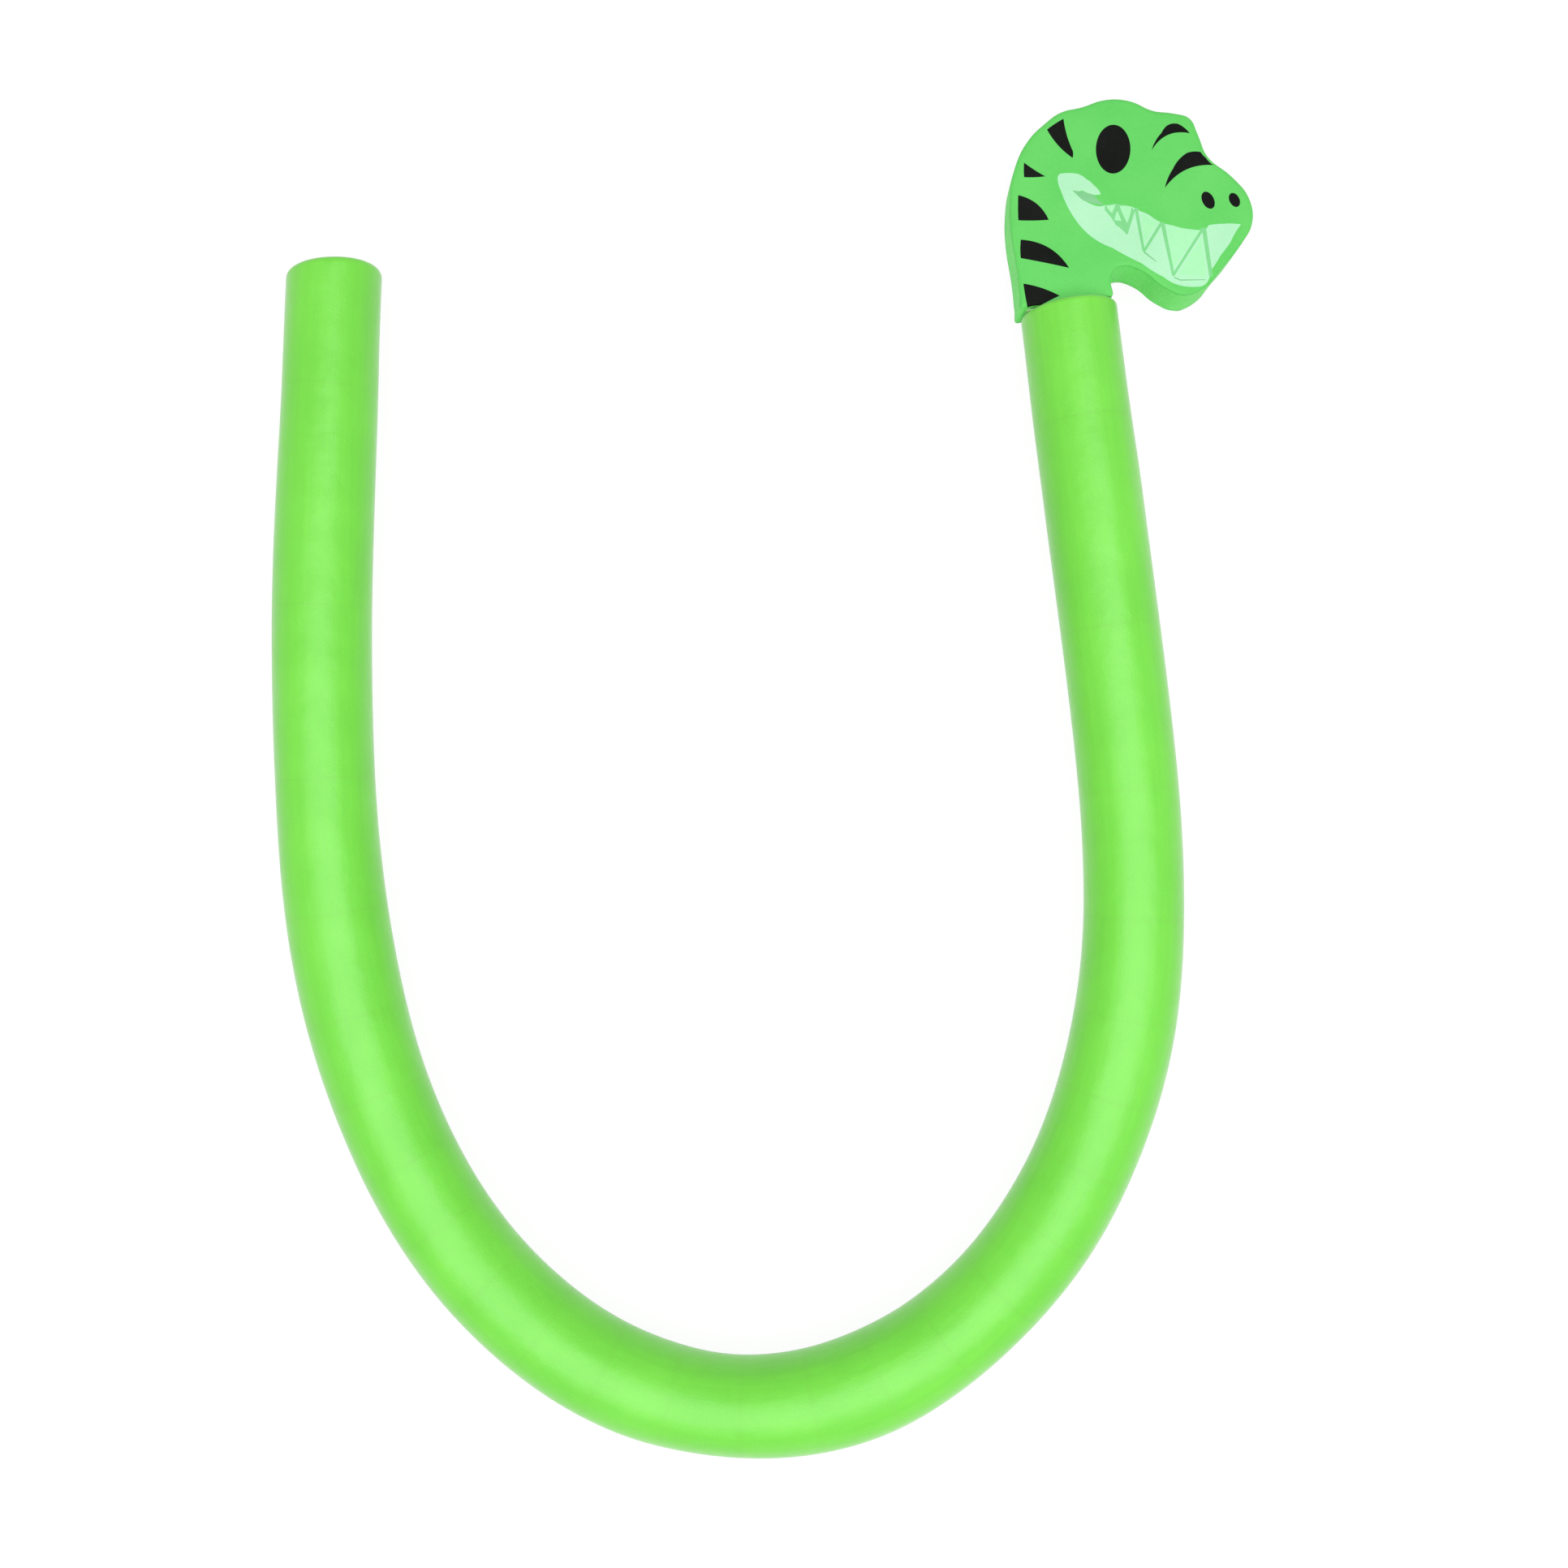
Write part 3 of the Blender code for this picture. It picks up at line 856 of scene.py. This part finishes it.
def print_shapes():
    """The print's shapes in the order that they are laid on, each with its material's number."""
    ink, mint, line, tooth, crease = 1, 2, 3, 4, 5
    shapes = [(sides_round(MOUTH), mint), (sides_round(MOUTH_CORNER), crease)]
    shapes.append((sides_round(GUM), line))
    shapes += [(sides_round(shape), tooth) for shape in TEETH]
    shapes += [(tapered(*ends), line) for ends in TOOTH_LINES]
    shapes += [(tapered(*ends), crease) for ends in LIP_LINES]
    shapes += [(sides_round(shape), ink) for shape in SIDE_STRIPES + BROWS]
    shapes += [(oval(*facts), ink) for facts in OVALS]
    return [(outline * MM, number) for outline, number in shapes]


def printed_face(outline, shapes):
    """The skin's printed face in plan: its points, triangles and their materials."""
    loops = [(outline, True)]
    for share in EDGE_RING_SHARES:
        loops.append((inset(outline, share * EDGE_ROUNDING_WIDTH), False))
    loops += [(shape, True) for shape, _ in shapes]
    points = []
    edges = []
    for loop, closed in loops:
        first = len(points)
        points += [Vector(p / MM) for p in loop]
        last = len(points)
        edges += [(i, i + 1) for i in range(first, last - 1)]
        if closed:
            edges.append((last - 1, first))
    flat, _, triangles, _, _, _ = delaunay_2d_cdt(points, edges, [], 0, FLAT_TOLERANCE)
    flat = np.array([tuple(p) for p in flat]) * MM
    middles = np.array([flat[list(t)].mean(0) for t in triangles])
    kept = inside(middles, outline)
    numbers = np.zeros(len(triangles), int)
    for shape, number in shapes:
        numbers[inside(middles, shape)] = number
    chosen = [list(t) for t, keep in zip(triangles, kept) if keep]
    return flat, chosen, numbers[kept]


def edge_drop(distance):
    """How far the face falls away as it nears its edge."""
    share = np.clip(1 - distance / EDGE_ROUNDING_WIDTH, 0, 1)
    return EDGE_ROUNDING_DEPTH * (1 - np.sqrt(1 - share**2))


def in_frame(axes, flat, height):
    """Points across and along the head, at their heights, in the frame of the solids."""
    origin, across, along = axes
    points = origin + np.outer(flat[:, 0], across) + np.outer(flat[:, 1], along)
    points[:, 2] = height
    return points


def close_back(made, back):
    """Pulls the face's border down to the back's height and closes the back."""
    work = bmesh.new()
    work.from_mesh(made.data)
    loose = [v for v in work.verts if not v.link_faces]
    bmesh.ops.delete(work, geom=loose, context="VERTS")
    border = [e for e in work.edges if e.is_boundary]
    pulled = bmesh.ops.extrude_edge_only(work, edges=border)["geom"]
    for vert in pulled:
        if isinstance(vert, bmesh.types.BMVert):
            vert.co.z = back
    border = [e for e in work.edges if e.is_boundary]
    bmesh.ops.edgeloop_fill(work, edges=border)
    for work_face in work.faces:
        if len(work_face.verts) > 3:
            work_face.material_index = 0
    work.to_mesh(made.data)
    work.free()


def make_skin(name, node, axes, outline, shapes, materials, upward):
    """A printed skin: its face rounds down at the edge, and its back lies on the core."""
    flat, triangles, numbers = printed_face(outline, shapes)
    low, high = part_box(node)
    face, back = (high.z, low.z) if upward else (low.z, high.z)
    drop = edge_drop(distance_to(flat, outline))
    height = face - drop if upward else face + drop
    made = mesh_object(name, in_frame(axes, flat, height), triangles, materials)
    made.data.polygons.foreach_set("material_index", numbers.astype(np.int32))
    close_back(made, back)
    tidy_normals(made)
    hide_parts(node)
    return made


def make_core(axes, outline, bottom, top, material):
    """The head's foam core between the skins, its cut wall standing very slightly proud."""
    heights = np.linspace(bottom, top, CORE_STEPS)
    middle = (bottom + top) / 2
    half = (top - bottom) / 2
    points = []
    for height in heights:
        proud = CORE_BULGE * (1 - ((height - middle) / half) ** 2)
        points.append(in_frame(axes, inset(outline, CORE_INSET - proud), height))
    faces = capped(CORE_STEPS, len(outline))
    made = mesh_object("head_foam_core", np.concatenate(points), faces, [material])
    tidy_normals(made)
    return made


def dowel_round(name, axes, profile, materials):
    """A closed round piece along the dowel's axis, through (distance along, radius)."""
    origin, across, along = axes
    angle = np.linspace(0, 2 * math.pi, DOWEL_SIDES, endpoint=False)
    rings = []
    for distance, radius in profile:
        ring = origin + along * distance + np.outer(radius * np.cos(angle), across)
        ring[:, 2] = origin[2] + radius * np.sin(angle)
        rings.append(ring)
    faces = capped(len(profile), DOWEL_SIDES)
    made = mesh_object(name, np.concatenate(rings), faces, materials)
    tidy_normals(made)
    return made


def dowel_facts(axes):
    """The dowel's reach either way from the tube's rim, and its radius."""
    points = node_points("joining_dowel") - axes[0]
    reach = points @ axes[2]
    return reach.min(), reach.max(), np.abs(points[:, 2]).max()


def make_dowel(axes):
    """The plain foam rod that joins the head to the tube."""
    start, end, radius = dowel_facts(axes)
    small = radius - DOWEL_CHAMFER
    inner = np.linspace(start + DOWEL_CHAMFER, end - DOWEL_CHAMFER, DOWEL_RINGS)
    profile = [(start, small), *((d, radius) for d in inner), (end, small)]
    material = cut_foam("dowel_foam", DOWEL_DEEP, DOWEL_LIGHT)
    made = dowel_round("joining_foam_rod", axes, profile, [material])
    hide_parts("joining_dowel")
    return made


def bore_core(core, axes):
    """Cuts the dowel's blind hole into the core."""
    _, end, radius = dowel_facts(axes)
    wide = radius + DOWEL_HOLE_CLEARANCE
    profile = [(-wide, wide), (end + DOWEL_HOLE_CLEARANCE, wide)]
    cutter = dowel_round("hole", axes, profile, [])
    cut = core.modifiers.new("hole", "BOOLEAN")
    cut.operation = "DIFFERENCE"
    cut.object = cutter
    cut.solver = "EXACT"
    graph = bpy.context.evaluated_depsgraph_get()
    holed = bpy.data.meshes.new_from_object(core.evaluated_get(graph))
    core.modifiers.clear()
    core.data = holed
    bpy.data.objects.remove(cutter)


def make_head(curve):
    """The head's core, its two printed skins, the dowel and the glue."""
    axes = head_axes(curve)
    outline = resampled(top_outline("head_skin_front", *axes))
    shapes = print_shapes()
    greens = [
        printed_skin("head_green", HEAD_DEEP, HEAD_LIGHT),
        printed_skin("print_black", INK_DEEP, INK_LIGHT, BLACK_SPECULAR),
        printed_skin("print_mint", MINT_DEEP, MINT_LIGHT),
        printed_skin("print_line", LINE_DEEP, LINE_LIGHT),
        printed_skin("print_tooth", TOOTH_DEEP, TOOTH_LIGHT),
        printed_skin("print_crease", CREASE_DEEP, CREASE_LIGHT),
    ]
    front = make_skin("head_printed_front", "head_skin_front", axes, outline, shapes, greens, True)
    back = make_skin("head_printed_back", "head_skin_back", axes, outline, shapes, greens, False)
    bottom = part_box("head_skin_back")[1].z
    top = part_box("head_skin_front")[0].z
    wall = cut_foam("head_foam", WALL_DEEP, WALL_LIGHT)
    core = make_core(axes, outline, bottom, top, wall)
    bore_core(core, axes)
    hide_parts("head_core")
    dowel = make_dowel(axes)
    frame["nodes"]["glue_layer"].material_slots[0].material = set_glue()
    bodies = frame["record"]["behaviour"]["bodies"]
    body = next(name for name, nodes in bodies.items() if "head_core" in nodes)
    for piece in (front, back, core, dowel):
        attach(piece, body)


def seen_directly(tree):
    """1 for rays that come straight from the camera or by way of gloss or glass, else 0."""
    path = add(tree, "ShaderNodeLightPath")
    either = maths(tree, "MAXIMUM", (path, "Is Camera Ray"), (path, "Is Glossy Ray"))
    return maths(tree, "MAXIMUM", either, (path, "Is Transmission Ray"))


def make_world():
    """Even white light from all round, and a white background."""
    world = bpy.data.worlds.new("studio")
    bpy.context.scene.world = world
    world.use_nodes = True
    tree = world.node_tree
    tree.nodes.clear()
    light = add(tree, "ShaderNodeBackground", {"Strength": WORLD_STRENGTH})
    white = add(tree, "ShaderNodeBackground", {"Strength": 1.0})
    for background in (light, white):
        background.inputs["Color"].default_value = (1, 1, 1, 1)
    choice = add(tree, "ShaderNodeMixShader", {0: seen_directly(tree), 1: (light, 0), 2: (white, 0)})
    add(tree, "ShaderNodeOutputWorld", {"Surface": (choice, 0)})


def make_floor():
    """A white floor that keeps a faint shadow of the noodle."""
    material = bpy.data.materials.new("studio_floor")
    material.use_nodes = True
    tree = material.node_tree
    tree.nodes.clear()
    matt = add(tree, "ShaderNodeBsdfDiffuse", {"Color": (*FLOOR_WHITE, 1)})
    shine = add(tree, "ShaderNodeEmission", {"Strength": FLOOR_SHINE})
    share = maths(tree, "MULTIPLY", seen_directly(tree), FLOOR_SHINE_SHARE)
    choice = add(tree, "ShaderNodeMixShader", {0: share, 1: (matt, 0), 2: (shine, 0)})
    add(tree, "ShaderNodeOutputMaterial", {"Surface": (choice, 0)})
    half = FLOOR_SIZE / 2
    corners = [(-half, -half), (half, -half), (half, half), (-half, half)]
    points = [(x, y, -FLOOR_DROP) for x, y in corners]
    floor = mesh_object("studio_floor", points, [[0, 1, 2, 3]], [material])


def make_softbox():
    """One wide softbox above, a little in front and to the right, which no camera ray sees."""
    light = bpy.data.lights.new("softbox", "AREA")
    light.shape = "RECTANGLE"
    light.size, light.size_y = SOFTBOX_SIZE
    light.energy = SOFTBOX_WATTS
    lamp = bpy.data.objects.new("softbox", light)
    lamp.location = SOFTBOX_PLACE
    lamp.rotation_mode = "QUATERNION"
    lamp.rotation_quaternion = (-Vector(SOFTBOX_PLACE)).to_track_quat("-Z", "Y")
    lamp.visible_camera = False
    bpy.context.scene.collection.objects.link(lamp)


def make_camera():
    """The camera above the noodle, as the photograph was taken."""
    lens = bpy.data.cameras.new("camera")
    lens.sensor_width = CAMERA_SENSOR
    lens.lens = CAMERA_LENS
    lens.clip_start = CAMERA_NEAR
    camera = bpy.data.objects.new("camera", lens)
    camera.location = CAMERA_PLACE
    camera.rotation_mode = "YXZ"
    camera.rotation_euler = (CAMERA_TURN_X, CAMERA_TURN_Y, 0)
    bpy.context.scene.collection.objects.link(camera)
    bpy.context.scene.camera = camera


for startup in ("Cube", "Light", "Camera"):
    if startup in bpy.data.objects:
        bpy.data.objects.remove(bpy.data.objects[startup])
bpy.context.scene.view_settings.view_transform = "Standard"
make_camera()
make_world()
make_softbox()
make_floor()
make_head(make_tube())
